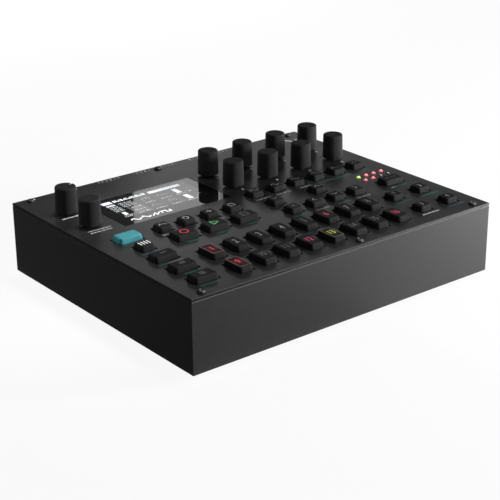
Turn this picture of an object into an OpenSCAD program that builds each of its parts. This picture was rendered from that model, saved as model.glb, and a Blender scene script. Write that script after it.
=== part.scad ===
// Desktop FM synthesizer: a folded steel case with a flat control panel,
// ten knobs, forty-five keys, a display window and a row of rear sockets.
// Millimetres, +X to the player's right, +Y to the rear, +Z up.
// The origin is under the middle of the case, on the surface it stands on.

/* [Heights] */
// Height of the case with its panel, without feet and knobs
case_h = 42.85; // [40:0.05:60]
// Height of a rubber foot
foot_h = 3.5; // [2:0.1:8]
// Depth from the underside of the panel to the main board
board_drop = 8.4; // [7.5:0.1:12]

/* [Sheet metal] */
// Thickness of the folded case sheet
sheet_t = 1.5; // [1:0.1:2.5]
// Outer radius of the case folds
fold_r = 0.8; // [0.4:0.1:3]
// Depth of the inward flange that carries the panel
flange_d = 7.5; // [7:0.1:12]
// Thickness of the top panel
panel_t = 1.5; // [1:0.1:3]
// Rounding of the panel's upper edges
panel_edge_r = 0.4; // [0.2:0.1:0.8]

/* [Columns] */
// Gap between the left edge and the wide keys
side_margin = 12.5; // [8:0.1:25]
// Gap between the wide keys and the step keys
column_gap = 10.6; // [6:0.1:20]
// Spacing of the step key columns
key_pitch = 16.15; // [14:0.05:20]
// Distance from the last step column to the first track key
track_gap = 21.05; // [18:0.05:30]
// Spacing of the two track key columns
track_pitch = 21; // [16:0.1:26]
// Distance from the last track key to the right edge
right_margin = 16.3; // [14:0.1:25]
// Distance from the first step column to the record key
transport_shift = 3.2; // [2:0.1:6]
// Spacing of the transport keys
transport_pitch = 21.05; // [19:0.05:24]
// Distance from the first data knob to the first arrow column
arrow_shift = 1.3; // [0:0.1:3]
// Spacing of the arrow key columns
arrow_pitch = 16; // [14:0.1:18]
// Distance from the page key to the right edge
page_margin = 19.9; // [16:0.1:24]
// Distance from the last data knob to the right edge
knob_margin = 18.2; // [14:0.1:24]
// Distance from the left edge to the two left knobs
left_knob_margin = 15.9; // [12:0.1:20]

/* [Rows] */
// Free strip between the flange and the lips of the front keys
rim_gap = 1.8; // [0.5:0.1:4]
// Spacing of the two step key rows
step_row_pitch = 22.9; // [20:0.1:28]
// Rise of the first wide key above the front step row
mode_row_rise = 0.2; // [0:0.1:3]
// Spacing of the wide key rows
mode_row_pitch = 17.4; // [15:0.1:20]
// Rise of the track keys above the step rows
track_row_rise = 0.4; // [0:0.1:3]
// Drop of the lower arrow row below the transport row
arrow_row_drop = 7.7; // [6:0.1:9]
// Spacing of the two arrow rows
arrow_row_pitch = 16.3; // [14:0.1:20]
// Distance from the upper arrow row to the parameter row
parameter_row_gap = 18; // [15:0.1:22]
// Distance from the transport row to the menu row
menu_row_gap = 16; // [14:0.1:20]
// Distance from the parameter row to the front knob row
knob_row_gap = 19.85; // [18:0.05:26]
// Spacing of the two knob rows
knob_row_pitch = 25.05; // [20:0.05:32]
// Distance from the rear knob row to the rear edge
rear_margin = 34.1; // [24:0.1:45]

/* [Keys] */
// Width of a step, arrow, menu, parameter or track key
key_w = 9.8; // [8:0.1:12]
// Depth of an arrow, menu, parameter, page or track key
key_d = 9.4; // [8:0.1:12]
// Depth of a step key
step_d = 15.6; // [12:0.1:18]
// Width of a mode, function, page or transport key
wide_w = 15.6; // [12:0.1:18]
// Depth of a mode, function or keyboard key
wide_d = 9.8; // [8:0.1:12]
// Depth of a transport key
transport_d = 10.4; // [8:0.1:12]
// Height of a key above the panel
key_h = 3.1; // [1.5:0.1:5]
// Slope of a key's sides, from base to top
key_inset = 0.7; // [0.2:0.1:1]
// Radius of a key's top edge
key_edge_r = 1; // [0.4:0.1:1.2]
// Corner radius of a key at its base
key_r = 2.2; // [2.2:0.1:3]
// Gap round a key in its cut-out
key_gap = 0.5; // [0.3:0.05:1]
// Width of the lip that holds a key under the panel
key_lip = 0.9; // [0.7:0.1:1.5]
// Thickness of that lip
lip_t = 1; // [0.6:0.1:1.5]
// Gap between the lip and the panel
lip_gap = 0.15; // [0.1:0.05:0.4]
// Radius of the stem under a key
stem_r = 1.6; // [1:0.1:2.5]
// Free travel of a key down to its switch
key_travel = 0.7; // [0.4:0.1:1]
// Gap left over the switch when a key is fully down
press_gap = 0.1; // [0.05:0.05:0.2]

/* [Knobs] */
// Radius of a knob at its base
knob_r = 6.4; // [5:0.1:8]
// Radius of a knob below its rounded top edge
knob_top_r = 6.1; // [4.5:0.1:8]
// Height of a knob
knob_h = 14.9; // [10:0.1:20]
// Radius of a knob's top edge
knob_edge_r = 0.9; // [0.4:0.1:2]
// Gap between a knob and the panel
knob_gap = 1.7; // [0.4:0.1:3]
// Radius of a control shaft
shaft_r = 3; // [2:0.1:3.2]
// Distance from a shaft's axis to its flat
shaft_flat = 1.5; // [1:0.1:2]
// Length of the shaft inside the knob
shaft_grip = 11; // [6:0.5:12]
// Running clearance of a shaft
shaft_clearance = 0.05; // [0.02:0.01:0.08]
// Wall of the bushing round a shaft
bushing_wall = 0.6; // [0.4:0.1:1]
// Gap round a bushing in the panel
bushing_gap = 0.2; // [0.1:0.05:0.5]
// How far a bushing ends below the panel's surface
bushing_drop = 0.1; // [0.05:0.05:0.5]

/* [Display] */
// Width of the display window
display_w = 74.5; // [60:0.1:80]
// Depth of the display window
display_d = 43.5; // [34:0.1:48]
// Distance from the left edge to the window
display_left = 30.5; // [28:0.1:36]
// Distance from the rear edge to the window
display_rear = 29; // [20:0.1:36]
// Gap round the window in its cut-out
window_gap = 0.25; // [0.15:0.05:0.5]
// How far the window lies below the panel's surface
window_drop = 0.1; // [0.05:0.05:0.5]
// Width of the display frame beyond the window
display_frame = 2.5; // [1.5:0.1:4]
// Thickness of the display under the panel
display_t = 5; // [3:0.1:6.5]
// Distance from the window to the first data knob
display_gap = 12.2; // [10:0.1:16]

/* [Boards] */
// Thickness of a circuit board
board_t = 1.6; // [1:0.1:2.4]
// Gap between the main board and the case walls
board_gap = 3; // [2:0.1:6]
// Size of a key switch body
switch_w = 6; // [4:0.1:8]
// Height of a key switch with its plunger
switch_h = 4.5; // [3.5:0.1:5]
// Height of that plunger
plunger_h = 1; // [0.5:0.1:1.5]
// Radius of that plunger
plunger_r = 1.75; // [1:0.05:2.5]
// Size of a rotary control's body
control_w = 12; // [10:0.1:14]
// Height of a rotary control's body
control_h = 5.5; // [4:0.1:6.5]
// Radius of an indicator lamp
lamp_r = 1.2; // [0.8:0.1:2]
// Gap round an indicator lamp
lamp_gap = 0.2; // [0.1:0.05:0.5]
// Spacing of the lamps across
lamp_pitch_x = 6.2; // [5:0.1:7]
// Spacing of the lamps from front to back
lamp_pitch_y = 6.5; // [5:0.1:8]
// Rise of the upper lamps above the upper arrow row
lamp_rise = 1.5; // [0:0.1:3]
// Radius of a post under the main board
post_r = 3.5; // [2.5:0.1:5]
// Distance from a post to the side of the case
post_inset = 10.5; // [8:0.1:16]

/* [Rear sockets] */
// Distance from the case sides to the first and last socket
socket_margin = 9; // [7:0.1:12]
// Height of the socket axes above the case floor
socket_rise = 14.6; // [14:0.1:17]
// Height of the socket board above the case floor
socket_board_rise = 3; // [2:0.1:4]
// Gap between a socket and the socket board
seat_gap = 0.05; // [0.02:0.01:0.2]
// Gap between a socket and its hole in the case
socket_gap = 0.2; // [0.1:0.05:0.5]
// Width of a jack socket
jack_w = 13.6; // [12.5:0.1:15]
// Depth of a jack socket
jack_d = 28; // [26:0.5:32]
// Radius of a jack socket's collar
jack_collar_r = 5.6; // [5:0.1:6]
// Radius of a jack socket's bore
jack_bore_r = 3.25; // [3.2:0.05:3.5]
// Depth of a jack socket's bore
jack_bore_d = 24; // [20:0.5:25]
// Width of a round data socket
din_w = 18; // [17.5:0.1:19]
// Depth of a round data socket
din_d = 14; // [12:0.5:16]
// Radius of a round data socket's collar
din_collar_r = 8.4; // [8.2:0.1:8.6]
// Radius of the space inside that collar
din_bore_r = 7; // [6.8:0.1:7.2]
// Radius of the insert that carries the contacts
din_insert_r = 5.8; // [5:0.1:6]
// Width of the square bus socket
usb_w = 12; // [11.5:0.1:13]
// Depth of the square bus socket
usb_d = 16; // [14:0.5:18]
// Width of the opening in the bus socket
usb_open_w = 8.5; // [8.4:0.05:8.7]
// Height of the opening in the bus socket
usb_open_h = 7.8; // [7.7:0.05:8]
// Width of the tongue in the bus socket
usb_tongue_w = 5.6; // [5.2:0.1:5.8]
// Height of the tongue in the bus socket
usb_tongue_h = 3.2; // [3:0.1:3.4]
// Width of the power inlet
inlet_w = 9; // [8.6:0.1:11]
// Depth of the power inlet
inlet_d = 14; // [12:0.5:16]
// Radius of the power inlet's bore
inlet_bore_r = 3.2; // [3.1:0.05:3.4]
// Radius of the pin in the power inlet
inlet_pin_r = 1; // [0.8:0.05:1.25]
// Depth of the spaces in the data, bus and power sockets
mouth_d = 9; // [8:0.1:10]
// Free depth in front of an insert, tongue or pin
free_d = 4.6; // [4.4:0.1:5]
// Width of the power switch
power_w = 13; // [11:0.1:15]
// Height of the power switch
power_h = 9; // [7:0.1:11]
// Depth of the power switch
power_d = 12; // [10:0.5:15]
// How far the rocker of the power switch is sunk at its middle
rocker_dip = 1.2; // [0.6:0.1:2]

/* [Mounting] */
// Hole spacing of the stand pattern in the floor
stand_pitch = 100; // [75:25:100]
// Radius of a stand hole
stand_hole_r = 2; // [1.5:0.1:3]
// Radius of the nut boss over a stand hole
stand_boss_r = 4; // [3.5:0.1:6]
// Height of that boss
stand_boss_h = 3; // [2:0.1:5]
// Radius of a rubber foot at the case
foot_r = 7; // [5:0.1:9]
// Taper of a rubber foot towards the floor
foot_taper = 0.6; // [0:0.1:1.5]
// Distance from a foot's centre to the case edges
foot_inset = 15; // [12:0.5:25]
// Distance from a panel screw to the front or rear edge
screw_inset = 4.5; // [4:0.1:5]
// Distance from a corner screw to the case side
screw_side = 9.5; // [7:0.1:14]
// Distance of the middle front screw from the case's middle, to the right
screw_shift = 9.3; // [0:0.1:12]
// Distance of the middle rear screw from the case's middle, to the left
screw_rear_shift = 7.3; // [0:0.1:20]
// Radius of a screw hole in the panel
screw_hole_r = 1.7; // [1.4:0.1:2]
// Radius of a threaded hole in the flange
thread_r = 1.25; // [1:0.05:1.5]

/* [Hidden] */
$fn = 64;
eps = 0.01;

case_colour = "#242527";
panel_colour = "#2a2b2d";
key_colour = "#2c2d2f";
function_colour = "#3fb6bd";
knob_colour = "#1d1e20";
glass_colour = "#0c0d0f";
board_colour = "#1f4a33";
metal_colour = "#b9bcc0";
socket_colour = "#151517";
rubber_colour = "#101011";

step_columns = 8;
menu_keys = 4;
transport_keys = 3;
parameter_keys = 6;
data_columns = 4;
lamp_columns = 4;

// Width and depth of the case follow from the rows and columns of controls.
body_w = side_margin + wide_w + column_gap + key_w/2 + (step_columns - 1)*key_pitch
    + track_gap + track_pitch + right_margin;
front_margin = flange_d + rim_gap + key_lip;
body_d = front_margin + step_d/2 + mode_row_rise + 3*mode_row_pitch - arrow_row_drop
    + arrow_row_pitch + parameter_row_gap + knob_row_gap + knob_row_pitch + rear_margin;
left_x = -body_w/2;
right_x = body_w/2;
front_y = -body_d/2;
rear_y = body_d/2;

// Levels, from the floor up.
floor_z = foot_h + sheet_t;
top_z = foot_h + case_h;
panel_z = top_z - panel_t;
board_z = panel_z - board_drop;
lip_top_z = panel_z - lip_gap;
stem_z = board_z + switch_h + key_travel + press_gap;
knob_z = top_z + knob_gap;
socket_board_z = floor_z + socket_board_rise + board_t;
socket_z = floor_z + socket_rise;
seat_z = socket_board_z + seat_gap;
bushing_r = shaft_r + shaft_clearance + bushing_wall;

// Columns.
mode_x = left_x + side_margin + wide_w/2;
step_x = mode_x + wide_w/2 + column_gap + key_w/2;
track_x = step_x + (step_columns - 1)*key_pitch + track_gap;
display_x = left_x + display_left;
data_x = display_x + display_w + display_gap;
data_pitch = (right_x - knob_margin - data_x)/(data_columns - 1);
parameter_pitch = (right_x - knob_margin - data_x)/(parameter_keys - 1);
arrow_x = data_x + arrow_shift;
page_x = right_x - page_margin;

// Rows.
step_y = front_y + front_margin + step_d/2;
mode_y = step_y + mode_row_rise;
transport_y = mode_y + 3*mode_row_pitch;
menu_y = transport_y + menu_row_gap;
arrow_y = transport_y - arrow_row_drop;
arrow_top_y = arrow_y + arrow_row_pitch;
parameter_y = arrow_top_y + parameter_row_gap;
knob_y = parameter_y + knob_row_gap;
display_y = rear_y - display_rear - display_d;
lamp_y = arrow_top_y + lamp_rise - lamp_pitch_y;
board_rear_y = knob_y + knob_row_pitch + control_w;

// Each key is a name, a place and a size.
keys = concat(
    [["function_key", mode_x, menu_y, wide_w, wide_d]],
    [["keyboard_key", mode_x, transport_y, key_w, wide_d]],
    [for (i = [0:2]) [str("mode_key_", i + 1), mode_x, mode_y + (2 - i)*mode_row_pitch, wide_w, wide_d]],
    [for (i = [0:menu_keys - 1]) [str("menu_key_", i + 1), step_x + i*key_pitch, menu_y, key_w, key_d]],
    [for (i = [0:transport_keys - 1])
        [["record_key", "play_key", "stop_key"][i], step_x + transport_shift + i*transport_pitch,
            transport_y, wide_w, transport_d]],
    [for (row = [0:1], i = [0:step_columns - 1])
        [str("step_key_", row*step_columns + i + 1), step_x + i*key_pitch,
            step_y + (1 - row)*step_row_pitch, key_w, step_d]],
    [for (i = [0:parameter_keys - 1])
        [str("parameter_key_", i + 1), data_x + i*parameter_pitch, parameter_y, key_w, key_d]],
    [["yes_key", arrow_x, arrow_top_y, key_w, key_d]],
    [["no_key", arrow_x, arrow_y, key_w, key_d]],
    [["up_key", arrow_x + 2*arrow_pitch, arrow_top_y, key_w, key_d]],
    [for (i = [1:3])
        [["left_key", "down_key", "right_key"][i - 1], arrow_x + i*arrow_pitch, arrow_y, key_w, key_d]],
    [["page_key", page_x, arrow_y, wide_w, key_d]],
    [for (row = [0:1], i = [0:1])
        [str("track_key_", row*2 + i + 1), track_x + i*track_pitch,
            step_y + track_row_rise + (1 - row)*step_row_pitch, key_w, key_d]]
);

// Each knob is a name and a place.
knobs = concat(
    [["volume_knob", left_x + left_knob_margin, knob_y + knob_row_pitch]],
    [["level_knob", left_x + left_knob_margin, knob_y]],
    [for (row = [0:1], i = [0:data_columns - 1])
        [str("data_knob_", row*data_columns + i + 1), data_x + i*data_pitch,
            knob_y + (1 - row)*knob_row_pitch]]
);

lamps = [for (i = [0:lamp_columns - 1], j = [0:1])
    [page_x + (i - (lamp_columns - 1)/2)*lamp_pitch_x, lamp_y + j*lamp_pitch_y]];

screws = concat(
    [for (x = [left_x + screw_side, screw_shift, right_x - screw_side]) [x, front_y + screw_inset]],
    [for (x = [left_x + screw_side, -screw_rear_shift, right_x - screw_side]) [x, rear_y - screw_inset]]
);

// Rear sockets from the player's left: five jacks, three data sockets,
// the bus socket, the power inlet and the power switch.
jack_count = 5;
din_count = 3;
usb_place = jack_count + din_count;
inlet_place = usb_place + 1;
power_place = inlet_place + 1;
socket_widths = concat([for (i = [1:jack_count]) jack_w], [for (i = [1:din_count]) din_w],
    [usb_w, inlet_w, power_w]);
function total(list, n) = n == 0 ? 0 : list[n - 1] + total(list, n - 1);
socket_space = (body_w - 2*socket_margin - total(socket_widths, len(socket_widths)))
    /(len(socket_widths) - 1);
function socket_x(i) = left_x + socket_margin + total(socket_widths, i) + i*socket_space
    + socket_widths[i]/2;

socket_board_d = jack_d + board_gap;
socket_board_y = rear_y - sheet_t - board_gap/2 - socket_board_d;
post_x = body_w/2 - post_inset;
posts = [for (x = [-post_x, 0, post_x],
    y = [front_y + sheet_t + board_gap + post_r, socket_board_y - board_gap - post_r]) [x, y]];
socket_posts = [for (x = [-post_x, 0, post_x],
    y = [socket_board_y + post_r, socket_board_y + socket_board_d - post_r]) [x, y]];

// Rectangle with round corners, centred.
module rounded_plan(w, d, r) {
    square([w - 2*r, d], center = true);
    square([w, d - 2*r], center = true);
    for (x = [-1, 1], y = [-1, 1])
        translate([x*(w/2 - r), y*(d/2 - r)]) circle(r);
}

// Outline of a sheet block seen from one side, standing on its lower edge.
module side_outline(w, h, r) {
    translate([0, h/2]) rounded_plan(w, h, r);
}

// Block whose upper and lower edges are all rounded like folded sheet.
module folded_block(w, d, h, r) {
    intersection() {
        rotate([90, 0, 0]) translate([0, 0, -d/2]) linear_extrude(d) side_outline(w, h, r);
        rotate([90, 0, 90]) translate([0, 0, -w/2]) linear_extrude(w) side_outline(d, h, r);
    }
}

// Round hole or rod along Y, from the rear face inwards.
module rear_rod(x, r, length) {
    translate([x, rear_y - length, socket_z]) rotate([-90, 0, 0]) cylinder(r = r, h = length);
}

// Square hole or bar along Y, from the rear face inwards.
module rear_bar(x, w, h, length) {
    translate([x - w/2, rear_y - length, socket_z - h/2]) cube([w, length, h]);
}

// Every hole that a socket needs in the rear wall.
module socket_holes() {
    reach = 2*sheet_t;
    translate([0, sheet_t/2, 0]) {
        for (i = [0:jack_count - 1])
            rear_rod(socket_x(i), jack_collar_r + socket_gap, reach);
        for (i = [jack_count:usb_place - 1])
            rear_rod(socket_x(i), din_collar_r + socket_gap, reach);
        rear_bar(socket_x(usb_place), usb_w + 2*socket_gap, usb_w + 2*socket_gap, reach);
        rear_rod(socket_x(inlet_place), inlet_w/2 + socket_gap, reach);
        rear_bar(socket_x(power_place), power_w + 2*socket_gap, power_h + 2*socket_gap, reach);
    }
}

module bottom_case() {
    inner_w = body_w - 2*sheet_t;
    inner_d = body_d - 2*sheet_t;
    open_w = body_w - 2*flange_d;
    open_d = body_d - 2*flange_d;
    color(case_colour) difference() {
        union() {
            difference() {
                translate([0, 0, foot_h]) folded_block(body_w, body_d, panel_z - foot_h, fold_r);
                translate([-inner_w/2, -inner_d/2, floor_z])
                    cube([inner_w, inner_d, panel_z - sheet_t - floor_z]);
                translate([-open_w/2, -open_d/2, floor_z + sheet_t])
                    cube([open_w, open_d, panel_z - floor_z]);
            }
            for (p = posts)
                translate([p[0], p[1], floor_z - eps])
                    cylinder(r = post_r, h = board_z - board_t - floor_z + eps);
            for (p = socket_posts)
                translate([p[0], p[1], floor_z - eps])
                    cylinder(r = post_r, h = socket_board_rise + eps);
            for (x = [-1, 1], y = [-1, 1])
                translate([x*stand_pitch/2, y*stand_pitch/2, floor_z - eps])
                    cylinder(r = stand_boss_r, h = stand_boss_h + eps);
        }
        for (x = [-1, 1], y = [-1, 1])
            translate([x*stand_pitch/2, y*stand_pitch/2, foot_h - sheet_t])
                cylinder(r = stand_hole_r, h = 3*sheet_t + stand_boss_h);
        for (s = screws)
            translate([s[0], s[1], panel_z - 2*sheet_t]) cylinder(r = thread_r, h = 3*sheet_t);
        socket_holes();
    }
}

module top_panel() {
    color(panel_colour) difference() {
        translate([0, 0, panel_z - fold_r])
            folded_block(body_w, body_d, panel_t + fold_r, panel_edge_r);
        translate([left_x - fold_r, front_y - fold_r, panel_z - 2*fold_r])
            cube([body_w + 2*fold_r, body_d + 2*fold_r, 2*fold_r]);
        translate([0, 0, panel_z - panel_t]) linear_extrude(3*panel_t) {
            for (k = keys)
                translate([k[1], k[2]]) square([k[3] + 2*key_gap, k[4] + 2*key_gap], center = true);
            translate([display_x - window_gap, display_y - window_gap])
                square([display_w + 2*window_gap, display_d + 2*window_gap]);
            for (k = knobs)
                translate([k[1], k[2]])
                    circle(bushing_r + bushing_gap);
            for (l = lamps)
                translate(l) circle(lamp_r + lamp_gap);
            for (s = screws)
                translate(s) circle(screw_hole_r);
        }
    }
}

module display_module() {
    frame_w = display_w + 2*display_frame;
    frame_d = display_d + 2*display_frame;
    color(glass_colour) {
        translate([display_x, display_y, panel_z - eps])
            cube([display_w, display_d, panel_t - window_drop + eps]);
        translate([display_x - display_frame, display_y - display_frame, panel_z - display_t])
            cube([frame_w, frame_d, display_t]);
    }
}

// Board with the key switches, rotary controls and lamps soldered to it.
module main_board() {
    board_w = body_w - 2*(sheet_t + board_gap);
    board_front_y = front_y + sheet_t + board_gap;
    color(board_colour) difference() {
        union() {
            translate([-board_w/2, board_front_y, board_z - board_t])
                cube([board_w, board_rear_y - board_front_y, board_t]);
            for (k = keys) translate([k[1], k[2], board_z]) {
                translate([-switch_w/2, -switch_w/2, -eps])
                    cube([switch_w, switch_w, switch_h - plunger_h + eps]);
                cylinder(r = plunger_r, h = switch_h);
            }
            for (k = knobs) translate([k[1], k[2], board_z]) {
                translate([-control_w/2, -control_w/2, -eps])
                    cube([control_w, control_w, control_h + eps]);
                cylinder(r = bushing_r, h = top_z - bushing_drop - board_z);
            }
            for (l = lamps)
                translate([l[0], l[1], board_z - eps]) cylinder(r = lamp_r, h = top_z - board_z + eps);
        }
        for (k = knobs)
            translate([k[1], k[2], board_z + board_t/2])
                cylinder(r = shaft_r + shaft_clearance, h = top_z - board_z);
    }
}

module socket_board() {
    color(board_colour)
        translate([-body_w/2 + sheet_t + board_gap, socket_board_y, socket_board_z - board_t])
            cube([body_w - 2*(sheet_t + board_gap), socket_board_d, board_t]);
}

// Body of a socket, from the rear wall to the given depth, on the socket board.
module socket_body(x, w, depth) {
    wall_y = rear_y - sheet_t - socket_gap;
    translate([x - w/2, rear_y - depth, seat_z])
        cube([w, wall_y - rear_y + depth, socket_z + w/2 - seat_z]);
}

module jack_socket(x) {
    color(socket_colour) difference() {
        union() {
            socket_body(x, jack_w, jack_d);
            rear_rod(x, jack_collar_r, 2*sheet_t);
        }
        rear_rod(x, jack_bore_r, jack_bore_d);
    }
}

module din_socket(x) {
    color(socket_colour) {
        difference() {
            union() {
                socket_body(x, din_w, din_d);
                rear_rod(x, din_collar_r, 2*sheet_t);
            }
            rear_rod(x, din_bore_r, mouth_d);
        }
        translate([0, -free_d, 0]) rear_rod(x, din_insert_r, mouth_d - free_d + eps);
    }
}

module usb_socket(x) {
    color(metal_colour) {
        difference() {
            union() {
                socket_body(x, usb_w, usb_d);
                rear_bar(x, usb_w, usb_w, 2*sheet_t);
            }
            rear_bar(x, usb_open_w, usb_open_h, mouth_d);
        }
        translate([0, -free_d, 0]) rear_bar(x, usb_tongue_w, usb_tongue_h, mouth_d - free_d + eps);
    }
}

module power_inlet(x) {
    color(socket_colour) {
        difference() {
            union() {
                socket_body(x, inlet_w, inlet_d);
                rear_rod(x, inlet_w/2, 2*sheet_t);
            }
            rear_rod(x, inlet_bore_r, mouth_d);
        }
        translate([0, -free_d, 0]) rear_rod(x, inlet_pin_r, mouth_d - free_d + eps);
    }
}

// Rocker switch whose face dips towards its middle.
module power_switch(x) {
    color(socket_colour) {
        translate([x - power_w/2, rear_y - power_d, seat_z])
            cube([power_w, power_d - sheet_t - socket_gap, socket_z + power_h/2 - seat_z]);
        translate([x, rear_y, socket_z - power_h/2]) linear_extrude(power_h)
            polygon([[-power_w/2, 0], [0, -rocker_dip], [power_w/2, 0],
                [power_w/2, -2*sheet_t], [-power_w/2, -2*sheet_t]]);
    }
}

module circuit_board() {
    main_board();
    socket_board();
    for (i = [0:jack_count - 1]) jack_socket(socket_x(i));
    for (i = [jack_count:usb_place - 1]) din_socket(socket_x(i));
    usb_socket(socket_x(usb_place));
    power_inlet(socket_x(inlet_place));
    power_switch(socket_x(power_place));
}

module rubber_feet() {
    color(rubber_colour)
        for (x = [-1, 1], y = [-1, 1])
            translate([x*(body_w/2 - foot_inset), y*(body_d/2 - foot_inset), 0])
                cylinder(r1 = foot_r - foot_taper, r2 = foot_r, h = foot_h);
}

// Turned cap on a D-shaped shaft.
module knob(x, y) {
    grip_r = shaft_r + shaft_clearance;
    shaft_z = board_z + board_t;
    side = concat(
        [[0, 0], [knob_r, 0]],
        [for (a = [0:15:90])
            [knob_top_r - knob_edge_r*(1 - cos(a)), knob_h - knob_edge_r*(1 - sin(a))]],
        [[0, knob_h]]
    );
    translate([x, y, 0]) {
        color(knob_colour) translate([0, 0, knob_z]) difference() {
            rotate_extrude() polygon(side);
            difference() {
                translate([0, 0, -knob_gap]) cylinder(r = grip_r, h = knob_gap + shaft_grip + knob_gap);
                translate([shaft_flat + shaft_clearance, -knob_r, 0])
                    cube([knob_r, 2*knob_r, knob_h]);
            }
        }
        color(metal_colour) difference() {
            translate([0, 0, shaft_z]) cylinder(r = shaft_r, h = knob_z + shaft_grip - shaft_z);
            translate([shaft_flat, -knob_r, knob_z - knob_gap/2]) cube([knob_r, 2*knob_r, knob_h]);
        }
    }
}

// Upright half of a key's outline: sloping wall, rounded top edge and flat top.
function key_side(half) = concat(
    [[0, 0], [half, 0]],
    [for (a = [15:15:90])
        [half - key_inset - key_edge_r*(1 - cos(a)), key_h - key_edge_r*(1 - sin(a))]],
    [[0, key_h]]
);

// Both halves of that outline, drawn out along the other side of the key.
module key_slab(w, length) {
    rotate([90, 0, 0]) translate([0, 0, -length/2]) linear_extrude(length) {
        polygon(key_side(w/2));
        mirror([1, 0]) polygon(key_side(w/2));
    }
}

// Cap with round corners, skirt, retaining lip and stem in one moulding.
module key(x, y, w, d, tint) {
    color(tint) translate([x, y, 0]) {
        translate([0, 0, top_z]) {
            flat_w = w - 2*key_r;
            flat_d = d - 2*key_r;
            key_slab(w, flat_d);
            rotate([0, 0, 90]) key_slab(d, flat_w);
            for (cx = [-flat_w/2, flat_w/2], cy = [-flat_d/2, flat_d/2])
                translate([cx, cy, 0]) rotate_extrude() polygon(key_side(key_r));
        }
        translate([0, 0, lip_top_z]) linear_extrude(top_z - lip_top_z) rounded_plan(w, d, key_r);
        translate([-w/2 - key_lip, -d/2 - key_lip, lip_top_z - lip_t])
            cube([w + 2*key_lip, d + 2*key_lip, lip_t]);
        translate([0, 0, stem_z]) cylinder(r = stem_r, h = lip_top_z - lip_t - stem_z + eps);
    }
}

bottom_case();
top_panel();
display_module();
circuit_board();
rubber_feet();
for (k = knobs)
    knob(k[1], k[2]);
for (k = keys)
    key(k[1], k[2], k[3], k[4], k[0] == "function_key" ? function_colour : key_colour);
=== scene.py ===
import math
import bmesh
import bpy
from mathutils import Matrix, Vector


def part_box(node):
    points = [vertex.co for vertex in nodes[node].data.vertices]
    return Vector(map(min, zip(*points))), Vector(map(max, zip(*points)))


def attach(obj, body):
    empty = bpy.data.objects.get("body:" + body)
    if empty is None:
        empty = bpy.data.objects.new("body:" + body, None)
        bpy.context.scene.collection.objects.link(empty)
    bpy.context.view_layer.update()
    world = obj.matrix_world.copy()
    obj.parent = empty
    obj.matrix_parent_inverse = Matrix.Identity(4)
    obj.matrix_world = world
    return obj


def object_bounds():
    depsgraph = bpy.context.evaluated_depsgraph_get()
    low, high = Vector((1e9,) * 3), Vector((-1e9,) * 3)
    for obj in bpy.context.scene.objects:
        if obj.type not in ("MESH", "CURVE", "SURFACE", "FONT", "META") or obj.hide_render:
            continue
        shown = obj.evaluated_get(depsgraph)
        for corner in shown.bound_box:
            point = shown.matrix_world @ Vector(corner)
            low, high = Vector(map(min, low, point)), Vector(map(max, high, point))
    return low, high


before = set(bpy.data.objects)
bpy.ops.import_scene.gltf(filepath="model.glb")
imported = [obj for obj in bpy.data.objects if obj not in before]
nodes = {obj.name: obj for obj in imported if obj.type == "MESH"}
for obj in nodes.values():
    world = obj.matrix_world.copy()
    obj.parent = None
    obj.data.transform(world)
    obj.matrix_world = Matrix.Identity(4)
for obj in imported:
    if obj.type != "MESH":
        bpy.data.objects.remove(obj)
cadLow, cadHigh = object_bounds()
scene = bpy.context.scene
scene.view_settings.view_transform = "Standard"
mm = 0.001
caseLow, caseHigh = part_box("bottom_case")
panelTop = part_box("top_panel")[1].z
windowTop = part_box("display_module")[1].z
print("frame loaded,", len(nodes), "nodes")


# Camera, solved from the case corners in the picture.
cameraSet = {
    "azimuth": -38.897, "elevation": 22.525, "roll": -0.202,    # degrees
    "across": -6.803, "along": -12.097, "away": 844.688,        # mm, from the middle of the case's foot
    "lens": 102.366, "sensor": 36,                              # mm
    "shiftX": -0.025, "nearest": 0.01,                          # share of the frame, metres
}


def placeCamera(look):
    az, el, roll = (math.radians(look[k]) for k in ("azimuth", "elevation", "roll"))
    back = Vector((math.sin(az) * math.cos(el), -math.cos(az) * math.cos(el), math.sin(el)))
    level = Vector((math.cos(az), math.sin(az), 0))
    rise = back.cross(level)
    right = math.cos(roll) * level + math.sin(roll) * rise
    up = math.cos(roll) * rise - math.sin(roll) * level
    caseFoot = Vector((0, 0, caseLow.z))
    spot = caseFoot + (back * look["away"] - right * look["across"] - up * look["along"]) * mm
    data = bpy.data.cameras.new("viewCamera")
    data.sensor_width = look["sensor"]
    data.lens = look["lens"]
    data.shift_x = look["shiftX"]
    data.clip_start = look["nearest"]
    camera = bpy.data.objects.new("viewCamera", data)
    scene.collection.objects.link(camera)
    turn = Matrix((right, up, back)).transposed().to_4x4()
    camera.matrix_world = Matrix.Translation(spot) @ turn
    scene.camera = camera


placeCamera(cameraSet)
print("camera placed")


# Small helpers for node trees. Inputs go by name, or by place as i0, i1 and so on.
def addNode(tree, kind, settings=None, **inputs):
    made = tree.nodes.new(kind)
    for key, value in (settings or {}).items():
        setattr(made, key, value)
    for key, value in inputs.items():
        byPlace = key[0] == "i" and key[1:].isdigit()
        socket = made.inputs[int(key[1:]) if byPlace else key]
        if isinstance(value, bpy.types.NodeSocket):
            tree.links.new(value, socket)
        else:
            socket.default_value = value
    return made


def newTree(name):
    material = bpy.data.materials.new(name)
    material.use_nodes = True
    return material, material.node_tree, material.node_tree.nodes["Principled BSDF"]


def objectPlace(tree):
    return addNode(tree, "ShaderNodeTexCoord").outputs["Object"]


def surfaceNormal(tree):
    return addNode(tree, "ShaderNodeNewGeometry").outputs["Normal"]


def axes(tree, vector):
    return addNode(tree, "ShaderNodeSeparateXYZ", None, i0=vector).outputs


def grain(tree, size, detail=2.0):
    noise = addNode(tree, "ShaderNodeTexNoise", None, Vector=objectPlace(tree), Scale=1 / (size * mm),
                    Detail=detail)
    return noise.outputs["Fac"]


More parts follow.
